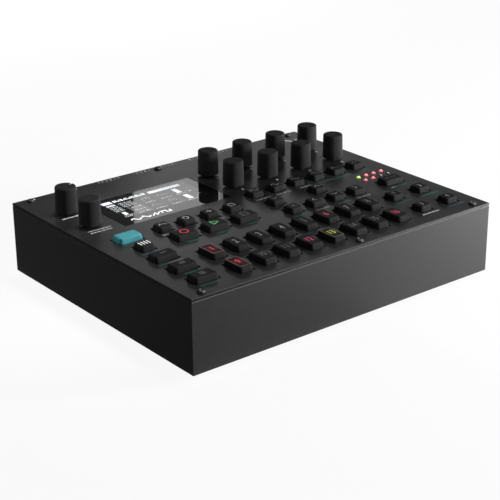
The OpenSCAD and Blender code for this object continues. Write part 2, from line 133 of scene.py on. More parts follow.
def spread(tree, value, low, high, fromLow=0.3, fromHigh=0.7):
    mapped = addNode(tree, "ShaderNodeMapRange", None, i0=value, i1=fromLow, i2=fromHigh, i3=low, i4=high)
    return mapped.outputs[0]


def tint(tree, factor, first, second):
    colours = [c if isinstance(c, bpy.types.NodeSocket) else (*c, 1) for c in (first, second)]
    mixed = addNode(tree, "ShaderNodeMix", {"data_type": "RGBA"}, i0=factor, i6=colours[0], i7=colours[1])
    return mixed.outputs[2]


def both(tree, first, second, how="MULTIPLY"):
    return addNode(tree, "ShaderNodeMath", {"operation": how}, i0=first, i1=second).outputs[0]


def within(tree, value, middle, half):    # mm
    return addNode(tree, "ShaderNodeMath", {"operation": "COMPARE"}, i0=value, i1=middle * mm,
                   i2=half * mm).outputs[0]


# Finishes: mottled colour, fine pores in roughness and bump, painted highlights on edges and folds, painted
# shade on the tops of keys and knobs, and a painted highlight on lens tops.
finishSet = {
    "mottleDetail": 3, "poreShare": 0.6, "mottleShare": 0.4, "edgeSamples": 6,
    "edge": (0.80, 0.985),     # the rounded normal times the flat one
    "frontEdgeHighlight": (-0.75, -0.35),     # the rounded normal's y
    "foldHighlight": (-0.40, -0.12),    # the normal's y times its z
    # Painted light on up-facing surfaces: shade on keys and knobs, highlight on lenses.
    "top": (0.75, 0.95),       # the normal's z
}


def finish(name, look):
    material, tree, shader = newTree(name)
    mottle = grain(tree, look["mottle"], finishSet["mottleDetail"])
    pores = grain(tree, look["pores"])
    colour = tint(tree, spread(tree, mottle, 0, 1), look["colour"], look["fleck"])
    mixed = addNode(tree, "ShaderNodeMath", {"operation": "MULTIPLY_ADD"}, i0=pores,
                    i1=finishSet["poreShare"], i2=spread(tree, mottle, 0, finishSet["mottleShare"]))
    tree.links.new(spread(tree, mixed.outputs[0], *look["rough"]), shader.inputs["Roughness"])
    bump = addNode(tree, "ShaderNodeBump", None, Strength=1.0, Distance=look["bump"] * mm, Height=pores)
    if "edge" in look:    # rounded edges from the bevel normal, lightened with a painted highlight
        radius, edgeHighlight = look["edge"]
        rounded = addNode(tree, "ShaderNodeBevel", {"samples": finishSet["edgeSamples"]},
                          Radius=radius * mm).outputs[0]
        agree = addNode(tree, "ShaderNodeVectorMath", {"operation": "DOT_PRODUCT"}, i0=rounded,
                        i1=surfaceNormal(tree))
        if "frontEdgeHighlight" in look:     # a brighter painted highlight on the edges that face the front
            front = spread(tree, axes(tree, rounded)[1], 1, 0, *finishSet["frontEdgeHighlight"])
            edgeHighlight = tint(tree, front, edgeHighlight, look["frontEdgeHighlight"])
        colour = tint(tree, spread(tree, agree.outputs["Value"], 1, 0, *finishSet["edge"]), colour, edgeHighlight)
        tree.links.new(rounded, bump.inputs["Normal"])
    if "foldHighlight" in look:    # painted highlight on the folds that face up and to the front
        lean = axes(tree, surfaceNormal(tree))
        foldHighlightMask = spread(tree, both(tree, lean[1], lean[2]), 1, 0, *finishSet["foldHighlight"])
        colour = tint(tree, foldHighlightMask, colour, look["foldHighlight"])
    if "top" in look:     # painted light on what faces up: darker tops as painted shade on keys and knobs, a paler top as painted highlight on lamp lenses
        facing = axes(tree, surfaceNormal(tree))[2]
        topRange = look.get("topFrom", finishSet["top"])
        colour = tint(tree, spread(tree, facing, 0, 1, *topRange), colour, look["top"])
    tree.links.new(colour, shader.inputs["Base Color"])
    tree.links.new(bump.outputs["Normal"], shader.inputs["Normal"])
    shader.inputs["Specular IOR Level"].default_value = look["specular"]
    shader.inputs["Metallic"].default_value = look.get("metal", 0.0)
    shader.inputs["Diffuse Roughness"].default_value = look.get("dusty", 0.0)
    if "glow" in look:
        shader.inputs["Emission Color"].default_value = (*look["glow"][0], 1)
        shader.inputs["Emission Strength"].default_value = look["glow"][1]
        # A painted highlight on an upper face glows too.
        if "top" in look:
            tree.links.new(colour, shader.inputs["Emission Color"])
    return material


# Sizes of mottle, pores, bump and edge are in mm.
# The case's edge and fold colours are painted highlights, lighter than its paint.
casePaint = finish("casePaint", {
    "colour": (0.0275, 0.0275, 0.0279), "fleck": (0.0312, 0.0312, 0.0316), "mottle": 4, "pores": 0.28,
    "rough": (0.41, 0.49), "bump": 0.008, "specular": 0.20, "edge": (0.40, (0.075, 0.075, 0.076)),
    "foldHighlight": (0.078, 0.078, 0.079),
})
# The panel's edge colour, brighter on the front edges, is a painted highlight.
panelPaint = finish("panelPaint", {
    "colour": (0.0136, 0.0136, 0.0139), "fleck": (0.0160, 0.0160, 0.0163), "mottle": 5, "pores": 0.24,
    "rough": (0.285, 0.315), "bump": 0.004, "specular": 0.40, "edge": (0.30, (0.070, 0.070, 0.073)),
    "frontEdgeHighlight": (0.105, 0.105, 0.107),
})
# The darker top colour is painted shade on the key tops.
keyPlastic = finish("keyPlastic", {
    "colour": (0.012, 0.012, 0.0126), "fleck": (0.015, 0.015, 0.0156), "mottle": 3, "pores": 0.16,
    "rough": (0.44, 0.54), "bump": 0.006, "specular": 0.10, "top": (0.0075, 0.0075, 0.0079),
})
functionPlastic = finish("functionPlastic", {
    "colour": (0.031, 0.183, 0.204), "fleck": (0.036, 0.200, 0.223), "mottle": 4, "pores": 0.16,
    "rough": (0.34, 0.46), "bump": 0.005, "specular": 0.40,
})
# The darker top colour is painted shade on the knob tops.
knobRubber = finish("knobRubber", {
    "colour": (0.037, 0.037, 0.038), "fleck": (0.042, 0.042, 0.043), "mottle": 4, "pores": 0.12,
    "rough": (0.48, 0.60), "bump": 0.004, "specular": 0.06, "dusty": 1.0, "top": (0.0148, 0.0148, 0.0156),
})
windowGloss = finish("windowGloss", {
    "colour": (0.0035, 0.0035, 0.004), "fleck": (0.0045, 0.0045, 0.005), "mottle": 20, "pores": 3,
    "rough": (0.02, 0.05), "bump": 0.0002, "specular": 0.22,
})
screenGlass = finish("screenGlass", {
    "colour": (0.005, 0.005, 0.0055), "fleck": (0.007, 0.007, 0.0075), "mottle": 10, "pores": 0.45,
    "rough": (0.02, 0.06), "bump": 0.0002, "specular": 0.34,
})
footRubber = finish("footRubber", {
    "colour": (0.014, 0.014, 0.014), "fleck": (0.020, 0.020, 0.020), "mottle": 3, "pores": 0.2,
    "rough": (0.75, 0.9), "bump": 0.02, "specular": 0.25,
})
screwSteel = finish("screwSteel", {
    "colour": (0.008, 0.008, 0.009), "fleck": (0.014, 0.014, 0.015), "mottle": 1.0, "pores": 0.1,
    "rough": (0.13, 0.20), "bump": 0.001, "specular": 0.8,
})
socketMetal = finish("socketMetal", {
    "colour": (0.50, 0.50, 0.51), "fleck": (0.42, 0.42, 0.43), "mottle": 2, "pores": 0.15,
    "rough": (0.22, 0.34), "bump": 0.002, "specular": 0.5, "metal": 1.0,
})
contactGold = finish("contactGold", {
    "colour": (0.62, 0.45, 0.16), "fleck": (0.55, 0.40, 0.15), "mottle": 1, "pores": 0.1,
    "rough": (0.20, 0.30), "bump": 0.001, "specular": 0.5, "metal": 1.0,
})


# Boards, moulded sockets and the metal bus socket share one node, so the finish follows the place.
boardSet = {
    "plastic": (0.016, 0.016, 0.017), "fleck": (0.021, 0.021, 0.022),
    "mask": (0.012, 0.075, 0.035), "metal": (0.50, 0.50, 0.51),
    "mainBoard": (35.65, 0.81), "socketBoard": (8.80, 0.81),    # middle height and half thickness, mm
    "busAcross": (62.3, 6.1), "busUp": (19.6, 6.1),             # middle and half width, mm
}


def boardFinish(look):
    material = finish("boardFinish", {
        "colour": look["plastic"], "fleck": look["fleck"], "mottle": 3, "pores": 0.18,
        "rough": (0.42, 0.56), "bump": 0.005, "specular": 0.4,
    })
    tree = material.node_tree
    shader = tree.nodes["Principled BSDF"]
    x, y, z = axes(tree, objectPlace(tree))
    onMain = within(tree, z, *look["mainBoard"])
    onBoard = both(tree, onMain, within(tree, z, *look["socketBoard"]), "MAXIMUM")
    onBus = both(tree, within(tree, x, *look["busAcross"]), within(tree, z, *look["busUp"]))
    plain = shader.inputs["Base Color"].links[0].from_socket
    colour = tint(tree, onBus, tint(tree, onBoard, plain, look["mask"]), look["metal"])
    tree.links.new(colour, shader.inputs["Base Color"])
    tree.links.new(onBus, shader.inputs["Metallic"])
    return material


# Printing inks and lit plastics. A lamp lens has a paler core where it faces up, a painted highlight that
# also glows.
inkSet = {"fade": 0.88, "coreFrom": (0.90, 0.985)}


def ink(name, colour, glow=0.0, core=None):
    look = {
        "colour": colour, "fleck": tuple(inkSet["fade"] * c for c in colour), "mottle": 0.5, "pores": 0.12,
        "rough": (0.5, 0.65), "bump": 0.002, "specular": 0.3, "glow": (colour, glow),
    }
    if core:
        look.update({"top": core, "topFrom": inkSet["coreFrom"]})
    return finish(name, look)


inkWhite = ink("inkWhite", (0.80, 0.80, 0.80))
inkLabel = ink("inkLabel", (0.42, 0.42, 0.42))
inkGrey = ink("inkGrey", (0.22, 0.22, 0.22))
inkPale = ink("inkPale", (0.50, 0.50, 0.50))
inkTeal = ink("inkTeal", (0.045, 0.17, 0.15))
lightRed = ink("lightRed", (0.60, 0.045, 0.075), 0.9)
lightPink = ink("lightPink", (0.52, 0.07, 0.15), 0.6)
lightGreen = ink("lightGreen", (0.12, 0.50, 0.16), 0.6)
lightYellow = ink("lightYellow", (0.50, 0.52, 0.10), 0.7)
edgeRed = ink("edgeRed", (0.24, 0.13, 0.13), 0.10)
edgeYellow = ink("edgeYellow", (0.22, 0.22, 0.16), 0.10)
screenWhite = ink("screenWhite", (0.74, 0.76, 0.78), 0.60)
screenPale = ink("screenPale", (0.52, 0.53, 0.54), 0.30)
screenGrey = ink("screenGrey", (0.32, 0.33, 0.34), 0.22)
lampRed = ink("lampRed", (0.74, 0.10, 0.14), 1.25, (1.0, 0.66, 0.70))
lampGreen = ink("lampGreen", (0.40, 0.70, 0.10), 1.1, (0.85, 1.0, 0.45))
# The clear lens belongs to an unlit lamp: its faint glow and pale core are painted highlight.
lampClear = ink("lampClear", (0.07, 0.04, 0.045), 0.25, (0.95, 0.85, 0.86))
print("finishes made")


# Flat and raised marks, built as closed prisms on a sheet of points and faces.
sheetSet = {
    "weld": 0.0005, "sliver": 0.003,        # mm
    "longMitre": 2.0, "sharpTurn": 0.2,     # limits that keep a stroke's corners short
}


def newSheet():
    return {"points": [], "faces": []}


def addPrism(sheet, outline, low, high):
    start = len(sheet["points"])
    count = len(outline)
    sheet["points"] += [(x, y, low) for x, y in outline] + [(x, y, high) for x, y in outline]
    sheet["faces"].append([start + i for i in reversed(range(count))])
    sheet["faces"].append([start + count + i for i in range(count)])
    for i in range(count):
        j = (i + 1) % count
        sheet["faces"].append([start + i, start + j, start + count + j, start + count + i])


def addRibbon(sheet, path, width, low, high, closed=False):
    path = [Vector(p) for p in path]
    count = len(path)
    start = len(sheet["points"])
    for i, point in enumerate(path):
        before = path[i] - path[i - 1] if i or closed else path[1] - path[0]
        after = path[(i + 1) % count] - path[i] if i < count - 1 or closed else path[-1] - path[-2]
        before.normalize()
        after.normalize()
        side = Vector((-before.y - after.y, before.x + after.x))
        side.normalize()
        square = max(sheetSet["sharpTurn"], side.dot(Vector((-before.y, before.x))))
        step = side * (width / 2 * min(sheetSet["longMitre"], 1 / square))
        left, right = point + step, point - step
        sheet["points"] += [(left.x, left.y, low), (right.x, right.y, low),
                            (right.x, right.y, high), (left.x, left.y, high)]
    for i in range(count if closed else count - 1):
        a, b = start + 4 * i, start + 4 * ((i + 1) % count)
        for k in range(4):
            n = (k + 1) % 4
            sheet["faces"].append([a + k, a + n, b + n, b + k])
    if not closed:
        last = start + 4 * (count - 1)
        sheet["faces"].append([start + 3, start + 2, start + 1, start])
        sheet["faces"].append([last, last + 1, last + 2, last + 3])


def joined(sheets):
    whole = newSheet()
    for sheet in sheets:
        start = len(whole["points"])
        whole["points"] += sheet["points"]
        whole["faces"] += [[start + i for i in face] for face in sheet["faces"]]
    return whole


def bar(x0, x1, y0, y1):
    return [(x0, y0), (x1, y0), (x1, y1), (x0, y1)]


def arc(x, y, radius, fromDegrees, toDegrees, steps):
    turns = [math.radians(fromDegrees + (toDegrees - fromDegrees) * i / steps) for i in range(steps + 1)]
    return [(x + radius * math.cos(t), y + radius * math.sin(t)) for t in turns]


def circle(radius, count):
    return arc(0, 0, radius, 0, 360 - 360 / count, count - 1)


def scaled(points, x=0, y=0, size=mm):
    return [(x + px * size, y + py * size) for px, py in points]


def sound(mesh):    # welds seams and turns every face outward
    work = bmesh.new()
    work.from_mesh(mesh)
    bmesh.ops.remove_doubles(work, verts=work.verts, dist=sheetSet["weld"] * mm)
    bmesh.ops.dissolve_degenerate(work, dist=sheetSet["sliver"] * mm, edges=work.edges)
    bmesh.ops.recalc_face_normals(work, faces=work.faces)
    work.to_mesh(mesh)
    work.free()


def paint(piece, material):
    piece.data.materials.clear()
    piece.data.materials.append(material)


def dress(name, mesh, body, material):
    piece = bpy.data.objects.new(name, mesh)
    scene.collection.objects.link(piece)
    paint(piece, material)
    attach(piece, body)


def pieceFrom(sheet, name, body, material, smooth=False):
    mesh = bpy.data.meshes.new(name)
    mesh.from_pydata(sheet["points"], [], sheet["faces"])
    sound(mesh)
    for face in mesh.polygons:
        face.use_smooth = smooth
    dress(name, mesh, body, material)


def topMiddle(name):
    low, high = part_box(name)
    return (low.x + high.x) / 2, (low.y + high.y) / 2, high.z


# CAD nodes that keep their shape.
keyNames = [n for n in nodes if n.endswith("_key") or "_key_" in n]
knobNames = [n for n in nodes if "knob" in n]
paint(nodes["bottom_case"], casePaint)
paint(nodes["top_panel"], panelPaint)
paint(nodes["display_module"], windowGloss)
paint(nodes["circuit_board"], boardFinish(boardSet))
paint(nodes["rubber_feet"], footRubber)
for name in knobNames:
    paint(nodes[name], knobRubber)
for name in keyNames:
    paint(nodes[name], functionPlastic if name == "function_key" else keyPlastic)
print("nodes painted,", len(keyNames), "keys and", len(knobNames), "knobs")


# Marks on the key tops: ink, paths, and whether the paths close. Sizes in mm.
markSet = {"size": 1.15, "stroke": 0.31, "boldStroke": 0.682, "sink": 0.01, "rise": 0.03}
waves = {
    "sine": [(-2.2 + 0.2 * i, 1.1 * math.sin(i / 22 * 2 * math.pi)) for i in range(23)],
    "triangle": [(-2.2, 0), (-1.1, 1.2), (1.1, -1.2), (2.2, 0)],
    "square": [(-2.2, -1), (-2.2, 1), (0, 1), (0, -1), (2.2, -1), (2.2, 1)],
    "saw": [(-2.2, -1.1), (0, 1.1), (0, -1.1), (2.2, 1.1)],
    "slope": [(-2.2, 0.9), (0.3, 0.9), (2.2, -1.1)],
    "envelope": [(-2.2, -1.1), (-1.2, 1.1), (-0.4, 0.2), (1.0, 0.2), (2.2, -1.1)],
}
keyMarks = {
    "record_key": (lightRed, [circle(2.1, 24)], True),
    "play_key": (lightGreen, [[(-1.7, 2.0), (2.2, 0), (-1.7, -2.0)]], True),
    "stop_key": (inkGrey, [bar(-1.8, 1.8, -1.8, 1.8)], True),
    "yes_key": (inkGrey, [[(-1.7, 0.1), (-0.5, -1.2), (1.8, 1.4)]], False),
    "no_key": (inkGrey, [[(-1.3, -1.3), (1.3, 1.3)], [(-1.3, 1.3), (1.3, -1.3)]], False),
    "up_key": (inkPale, [[(-1.6, -0.7), (0, 1.0), (1.6, -0.7)]], False),
    "down_key": (inkPale, [[(-1.6, 0.7), (0, -1.0), (1.6, 0.7)]], False),
    "left_key": (inkPale, [[(0.7, -1.6), (-1.0, 0), (0.7, 1.6)]], False),
    "right_key": (inkPale, [[(-0.7, -1.6), (1.0, 0), (-0.7, 1.6)]], False),
    "page_key": (inkGrey, [[(-3.6 + 2 * i, 0), (-2.4 + 2 * i, 0)] for i in range(4)], False),
    "keyboard_key": (inkWhite, [[(-2.4 + 1.6 * i, -1.9), (-2.4 + 1.6 * i, 1.9)] for i in range(4)], False),
    "mode_key_1": (inkGrey, [[(-1.6, 0), (1.6, 0)]], False),
    "mode_key_2": (inkGrey, [[(-1.6, 0.6), (1.6, 0.6)], [(-1.6, -0.6), (1.6, -0.6)]], False),
    "mode_key_3": (inkGrey, [[(-1.6, y), (1.6, y)] for y in (1.1, 0, -1.1)], False),
    "menu_key_1": (inkPale, [waves["envelope"]], False),
    "menu_key_2": (inkPale, [circle(1.5, 20)], True),
    "menu_key_3": (inkPale, [[(0, -1.7), (0, 1.7)], [(-1.7, 0), (1.7, 0)]], False),
    "menu_key_4": (inkPale, [bar(-1.5, 1.5, -1.5, 1.5)], True),
    "parameter_key_1": (inkGrey, [waves["square"]], False),
    "parameter_key_2": (inkPale, [waves["sine"]], False),
    "parameter_key_3": (inkGrey, [waves["triangle"]], False),
    "parameter_key_4": (inkGrey, [waves["slope"]], False),
    "parameter_key_5": (inkGrey, [waves["envelope"]], False),
    "parameter_key_6": (inkGrey, [waves["saw"]], False),
}
for name, (material, paths, closed) in keyMarks.items():
    x, y, top = topMiddle(name)
    sheet = newSheet()
    stroke = markSet["boldStroke" if name == "keyboard_key" else "stroke"]
    for path in paths:
        addRibbon(sheet, scaled(path, x, y, markSet["size"] * mm), stroke * mm, top - markSet["sink"] * mm,
                  top + markSet["rise"] * mm, closed)
    pieceFrom(sheet, name + "_mark", name, material)


# Numbers, from Blender's own typeface: height in mm, narrowing, and boldness as a share of the height.
numberSet = {
    "step": (7.2, 0.66, -0.012), "track": (5.0, 0.75, -0.012), "knob": (3.1, 0.95, 0.012),
    "depth": 0.04, "lift": 0.01, "knobAside": 1.2, "knobFront": 7.9,    # mm
}


def addNumber(name, words, kind, x, y, z, body, slot, material):
    size, narrowing, boldness = numberSet[kind]
    curve = bpy.data.curves.new(name, "FONT")
    curve.body = words
    curve.size = size * mm
    curve.extrude = numberSet["depth"] * mm / 2
    curve.offset = boldness * size * mm
    curve.align_x = "CENTER"
    curve.align_y = "CENTER"
    curve.resolution_u = 3
    holder = bpy.data.objects.new(name, curve)
    scene.collection.objects.link(holder)
    mesh = bpy.data.meshes.new_from_object(holder.evaluated_get(bpy.context.evaluated_depsgraph_get()))
    mesh.name = name
    sound(mesh)
    bpy.data.objects.remove(holder)
    bpy.data.curves.remove(curve)
    narrow = Matrix.Diagonal((narrowing, 1, 1, 1))
    mesh.transform(Matrix.Translation((x, y, z + numberSet["lift"] * mm)) @ narrow)
    dress(name, mesh, body, material)


# Step keys: number inks, light that shines through the cap round a lit number, and lit rims.
stepInk = {
    1: lightRed, 9: lightRed, 13: lightYellow, 6: lightPink, 12: lightPink, 16: lightPink,
    5: inkGrey, 8: inkGrey, 10: inkGrey, 11: inkGrey, 14: inkGrey, 15: inkGrey,
}
litSet = {
    "core": 0.5, "reach": 4.2,    # mm
    1: ((0.30, 0.02, 0.035), 0.26), 9: ((0.30, 0.02, 0.035), 0.30), 13: ((0.18, 0.19, 0.02), 0.22),
    6: ((0.25, 0.02, 0.05), 0.14), 12: ((0.25, 0.02, 0.05), 0.18), 16: ((0.25, 0.02, 0.05), 0.18),
}
rimSet = {
    "acrossIn": 2.38, "alongIn": 2.65, "width": 0.34, "sink": 0.06, "rise": 0.012,    # mm, from the key's box
    1: edgeRed, 9: edgeRed, 13: edgeYellow,
}


def litCap(name, middle, colour, strength):
    material = keyPlastic.copy()
    material.name = name
    tree = material.node_tree
    shader = tree.nodes["Principled BSDF"]
    away = addNode(tree, "ShaderNodeVectorMath", {"operation": "DISTANCE"}, i0=objectPlace(tree), i1=middle)
    fade = spread(tree, away.outputs["Value"], strength, 0, litSet["core"] * mm, litSet["reach"] * mm)
    shader.inputs["Emission Color"].default_value = (*colour, 1)
    tree.links.new(fade, shader.inputs["Emission Strength"])
    return material


def addRim(name, material):
    low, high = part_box(name)
    across, along = rimSet["acrossIn"] * mm, rimSet["alongIn"] * mm
    path = bar(low.x + across, high.x - across, low.y + along, high.y - along)
    sheet = newSheet()
    addRibbon(sheet, path, rimSet["width"] * mm, high.z - rimSet["sink"] * mm,
              high.z + rimSet["rise"] * mm, True)
    pieceFrom(sheet, name + "_rim", name, material)


for i in range(1, 17):
    name = "step_key_%d" % i
    middle = topMiddle(name)
    addNumber(name + "_number", str(i), "step", *middle, name, "key_cap", stepInk.get(i, inkPale))
    if i in litSet:
        paint(nodes[name], litCap("litCap_%d" % i, middle, *litSet[i]))
    if i in rimSet:
        addRim(name, rimSet[i])
for i in range(1, 5):
    name = "track_key_%d" % i
    addNumber(name + "_number", str(i), "track", *topMiddle(name), name, "key_cap", inkPale)
print("key marks made")


# Printed marks on the panel: rows of short strokes, as x range and y in mm.
printSet = {
    "sink": 0.005, "rise": 0.02, "widths": (0.55, 0.95, 0.40, 0.80, 0.60, 1.05, 0.45), "least": 0.2,
    "short": 0.6, "tall": {"white": 1.05, "rear": 1.80, "grey": 1.05, "teal": 1.05},
    "gap": {"white": 0.46, "rear": 2.20, "grey": 0.46, "teal": 0.46},
    "white": [(-99, -88, 46.4), (63.5, 76.5, -77.8)],
    "rear": [(-98, -94, 85), (-66.5, -65, 85), (-50, -33, 85), (-22, -11, 85), (-7, 8, 85), (18, 26, 85),
             (42, 48, 85), (98, 100, 85)],
    "grey": [(-98, -83, 20.9), (-98, -84, 18.0), (5, 16.5, 0.7), (20.5, 32, 0.7), (38.5, 47, 0.7),
             (22, 31, -33.7), (53, 64, -33.7), (81, 85, -33.7), (-89, -80, -43), (-69, -65, -9.2),
             (-29, -26, -9.2)],
    "teal": [(52, 66, 0.7), (68, 79.5, 0.7), (86, 95, 0.7), (5.5, 16, -33.7), (38, 49, -33.7),
             (86, 94, -33.7), (63.5, 77, -55.4), (84, 99, -55.4), (83.5, 97, -77.8), (-94, -82, -25.4),
             (-95, -90, -43), (-91, -84, -60), (-94, -81, -77.6), (-64, -57, -25.7), (-44, -36, -25.7),
             (-22, -15, -25.7), (-8, -3, -58)],
}
printLow = panelTop - printSet["sink"] * mm
printHigh = panelTop + printSet["rise"] * mm


def printRows(tone, material):
    sheet = newSheet()
    widths = printSet["widths"]
    half = printSet["tall"][tone] / 2
    for row, (x0, x1, y) in enumerate(printSet[tone]):
        x, i = x0, row
        while x < x1 - printSet["least"]:
            wide = min(widths[i % len(widths)], x1 - x)
            low = y - half * (1.0 if i % 3 else printSet["short"])
            addPrism(sheet, scaled(bar(x, x + wide, low, y + half)), printLow, printHigh)
            x += wide + printSet["gap"][tone]
            i += 1
    pieceFrom(sheet, "panel_print_" + tone, "chassis", material)


printRows("white", inkWhite)
printRows("rear", inkWhite)
printRows("grey", inkLabel)
printRows("teal", inkTeal)

# A number in front of each data knob.
for i in range(1, 9):
    x, y = topMiddle("data_knob_%d" % i)[:2]
    addNumber("knob_number_%d" % i, str(i), "knob", x + numberSet["knobAside"] * mm,
              y - numberSet["knobFront"] * mm, panelTop, "chassis", "panel_paint", inkWhite)

# A plain wave as the panel's sign, behind the data knobs.
signSet = {"x": 91.3, "y": 74.0, "size": 2.5, "stroke": 1.5}    # mm
signSheet = newSheet()
addRibbon(signSheet, scaled(waves["sine"], signSet["x"] * mm, signSet["y"] * mm, signSet["size"] * mm),
          signSet["stroke"] * mm, printLow, printHigh)
pieceFrom(signSheet, "panel_sign", "chassis", inkWhite)
print("panel printed")


# Display: the screen's plate in the window, and a picture of plain dials and bars on it, in mm.
screenSet = {
    "plate": (-70.0, -9.0, 26.0, 56.0), "plateSink": 0.02, "plateRise": 0.004,
    "sink": 0.004, "rise": 0.014, "line": 0.28,
    "dashes": (0.9, 0.5, 1.3, 0.7), "dashGap": 0.45, "dashLeast": 0.3, "dashShort": 0.6,
}


def drawScreen(look):
    plate = newSheet()
    addPrism(plate, scaled(bar(*look["plate"])), windowTop - look["plateSink"] * mm,
             windowTop + look["plateRise"] * mm)
    pieceFrom(plate, "screen_plate", "chassis", screenGlass)
    bright, pale, dim = newSheet(), newSheet(), newSheet()
    low, high = windowTop - look["sink"] * mm, windowTop + look["rise"] * mm

    def block(sheet, x0, x1, y0, y1):
        addPrism(sheet, scaled(bar(x0, x1, y0, y1)), low, high)

    def line(sheet, points, closed=False):
        addRibbon(sheet, scaled(points), look["line"] * mm, low, high, closed)

    def dashes(sheet, x0, x1, y, tall):
        x, i = x0, int(abs(x0 + y))
        while x < x1 - look["dashLeast"]:
            wide = look["dashes"][i % len(look["dashes"])]
            block(sheet, x, min(x + wide, x1), y, y + tall * (1.0 if i % 3 else look["dashShort"]))
            x += wide + look["dashGap"]
            i += 1

    block(bright, -69.0, -62.6, 50.2, 54.0)                # heading
    dashes(bright, -61.2, -38.6, 50.8, 2.9)
    block(bright, -36.6, -14.0, 50.2, 53.6)
    block(pale, -68.8, -63.0, 46.2, 48.6)                  # columns on the left
    for y in (44.2, 42.4, 40.6, 38.8, 37.0, 28.8, 27.0):
        dashes(pale, -68.6, -62.8, y, 1.0)
    block(bright, -67.0, -64.6, 30.4, 34.6)
    for y in (47.0, 45.0, 43.0, 41.0):
        dashes(pale, -60.6, -51.6, y, 1.0)
    for y in (27.2, 31.6, 36.0):                           # three boxed values
        line(dim, bar(-59.6, -50.2, y, y + 3.4), True)
        dashes(pale, -58.6, -51.2, y + 1.1, 1.2)
    for column in range(2):                                # dials and curves with a value under each
        for row in range(2):
            x, y = -43.4 + 11.4 * column, 44.6 - 11.6 * row
            if (column + row) % 2:
                rise = [(x - 3.6, y - 1.6), (x - 1.8, y + 1.9), (x - 0.4, y)]
                line(pale, rise + [(x + 1.8, y), (x + 3.6, y - 1.6)])
            else:
                line(pale, arc(x, y, 2.3, -45, 225, 14))
                line(pale, [(x, y), (x + 1.4, y + 1.6)])
            dashes(pale, x - 3.8, x + 3.8, y - 6.0, 1.1)
    for y0, y1 in ((40.6, 48.0), (28.6, 36.0)):            # meters on the right
        block(bright, -23.0, -19.6, y0, y1)
        block(pale, -25.0, -18.0, y0 - 1.9, y0 - 1.1)
        line(pale, [(-16.6, y0 + 0.4), (-13.6, y1 - 3.0), (-12.0, y1 - 3.0)])
    block(pale, -16.0, -13.8, 38.6, 40.6)
    pieceFrom(bright, "screen_picture", "chassis", screenWhite)
    pieceFrom(pale, "screen_values", "chassis", screenPale)
    pieceFrom(dim, "screen_boxes", "chassis", screenGrey)


drawScreen(screenSet)

# Four plain waves printed on the window, in front of the screen.
waveSet = {
    "shapes": ("sine", "triangle", "saw", "square"), "x": -66.0, "step": 6.9, "y": 20.9, "size": 1.35,
    "stroke": 0.95, "sink": 0.004, "rise": 0.012,    # mm
}
waveSheet = newSheet()
for i, shape in enumerate(waveSet["shapes"]):
    x = (waveSet["x"] + waveSet["step"] * i) * mm
    addRibbon(waveSheet, scaled(waves[shape], x, waveSet["y"] * mm, waveSet["size"] * mm),
              waveSet["stroke"] * mm, windowTop - waveSet["sink"] * mm, windowTop + waveSet["rise"] * mm)
pieceFrom(waveSheet, "window_waves", "chassis", screenWhite)
print("display drawn")


# Turned pieces: a profile of radius and height in mm, spun about an axis.
def spin(profile, steps, centre, axis="Z", closed=False):
    sheet = newSheet()
    loops = []
    for radius, height in profile:
        loop = []
        for i in range(steps if radius > 0 else 1):
            t = 2 * math.pi * i / steps
            a, b = radius * math.cos(t), radius * math.sin(t)
            spot = (a, b, height) if axis == "Z" else (a, height, -b)
            loop.append(len(sheet["points"]))
            sheet["points"].append(tuple(c + s * mm for c, s in zip(centre, spot)))
        loops.append(loop)
    for lower, upper in zip(loops, loops[1:] + (loops[:1] if closed else [])):
        for i in range(steps):
            j = (i + 1) % steps
            face = [lower[i % len(lower)], lower[j % len(lower)]]
            face += [upper[j % len(upper)], upper[i % len(upper)]]
            sheet["faces"].append(list(dict.fromkeys(face)))    # drops doubled corners at a tip
    return sheet


def dome(radius, height, degrees):
    turns = [math.radians(a) for a in degrees]
    return [(radius * math.cos(t), height * math.sin(t)) for t in turns]


# Panel screws with a domed head and a round recess.
screwSet = {
    "places": [(-98, -83.5), (9.3, -83.5), (98, -83.5), (-98, 83.5), (-7.3, 83.5), (98, 83.5)],
    "headRadius": 2.4, "headHeight": 1.7, "shankRadius": 1.5, "shankDepth": 1.4,    # mm
    "dome": (0, 10, 20, 32, 44, 56),                                                # degrees
    "recess": [(1.0, 0.86), (0.95, 0.25), (0, 0.15)],                               # mm, share of the height
}


def screwProfile(look):
    shank = look["shankRadius"]
    foot = -look["shankDepth"]
    recess = [(r, h * look["headHeight"]) for r, h in look["recess"]]
    head = dome(look["headRadius"], look["headHeight"], look["dome"])
    return [(0, foot), (shank, foot), (shank, 0)] + head + recess


for i, (x, y) in enumerate(screwSet["places"]):
    sheet = spin(screwProfile(screwSet), 36, (x * mm, y * mm, panelTop))
    pieceFrom(sheet, "panel_screw_%d" % (i + 1), "chassis", screwSteel, True)

# Lenses of the small lamps beside the page key.
lensSet = {
    "radius": 1.25, "rise": 0.80, "sink": 0.3,    # mm
    "places": [(78.3 + 6.2 * i, y) for y in (-7.5, -14.0) for i in range(4)],
    "finishes": [lampGreen, lampRed, lampRed, lampRed, lampRed, lampRed, lampClear, lampClear],
}
lensProfile = [(0, -lensSet["sink"]), (lensSet["radius"], -lensSet["sink"])]
lensProfile += dome(lensSet["radius"], lensSet["rise"], range(0, 90, 15)) + [(0, lensSet["rise"])]
for i, (x, y) in enumerate(lensSet["places"]):
    sheet = spin(lensProfile, 24, (x * mm, y * mm, panelTop))
    pieceFrom(sheet, "lamp_lens_%d" % (i + 1), "chassis", lensSet["finishes"][i], True)
print("screws and lamps made")


